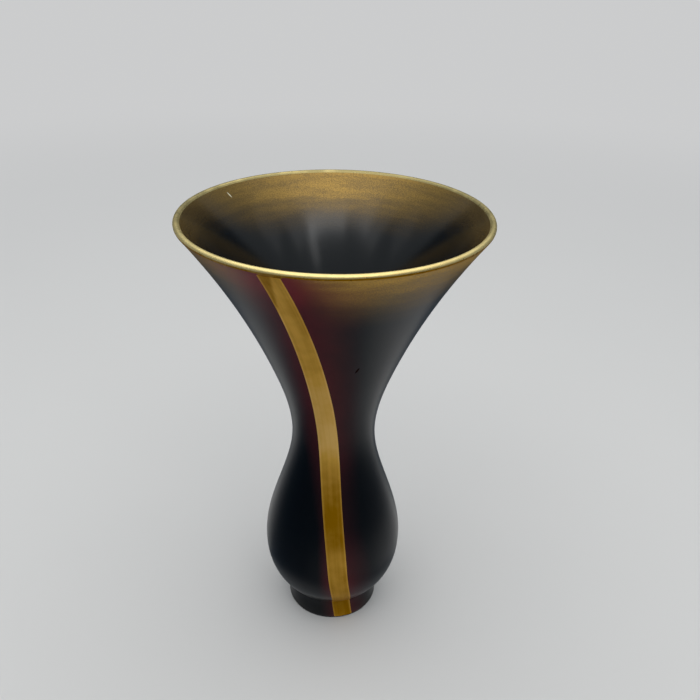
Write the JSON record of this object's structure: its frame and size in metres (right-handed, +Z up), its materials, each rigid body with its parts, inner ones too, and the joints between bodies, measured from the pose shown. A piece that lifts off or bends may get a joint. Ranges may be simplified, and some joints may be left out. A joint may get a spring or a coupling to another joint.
{
  "type": "ikebana vase",
  "caption": "Lacquered flower vase with a wide trumpet mouth, narrow waist, bulb body and low foot, a gold lip and gold band, and a lift-out water liner.",
  "frame": {"origin": "middle of the foot's underside, on the surface the vase stands on", "axes": "+Z up along the axis the body is turned on; -Y is the front, where the gold band runs down"},
  "size_m": [0.229, 0.229, 0.3598],
  "materials": {
    "black_lacquer": "glossy black lacquer with dark red shading beside the gold band, over turned wood",
    "gold": "satin gold",
    "felt": "dark felt",
    "iron": "plain cast iron",
    "copper": "dull sheet copper"
  },
  "bodies": {
    "body": {"lip_ring": "gold", "mouth_ring": "black_lacquer", "neck_ring": "black_lacquer", "bulb_upper": "black_lacquer", "bulb_lower": "black_lacquer", "foot_ring": "black_lacquer", "base_disc": "black_lacquer", "base_weight": "iron", "foot_felt": "felt", "gold_band_body": "gold", "gold_band_foot": "gold"},
    "liner": {"liner_tube": "copper", "liner_floor": "copper", "liner_lip": "copper"}
  },
  "joints": [
    {"name": "liner_lift", "type": "slide", "parent": "body", "child": "liner", "axis": [0, 0, 1], "range_m": [0, 0.34]}
  ]
}
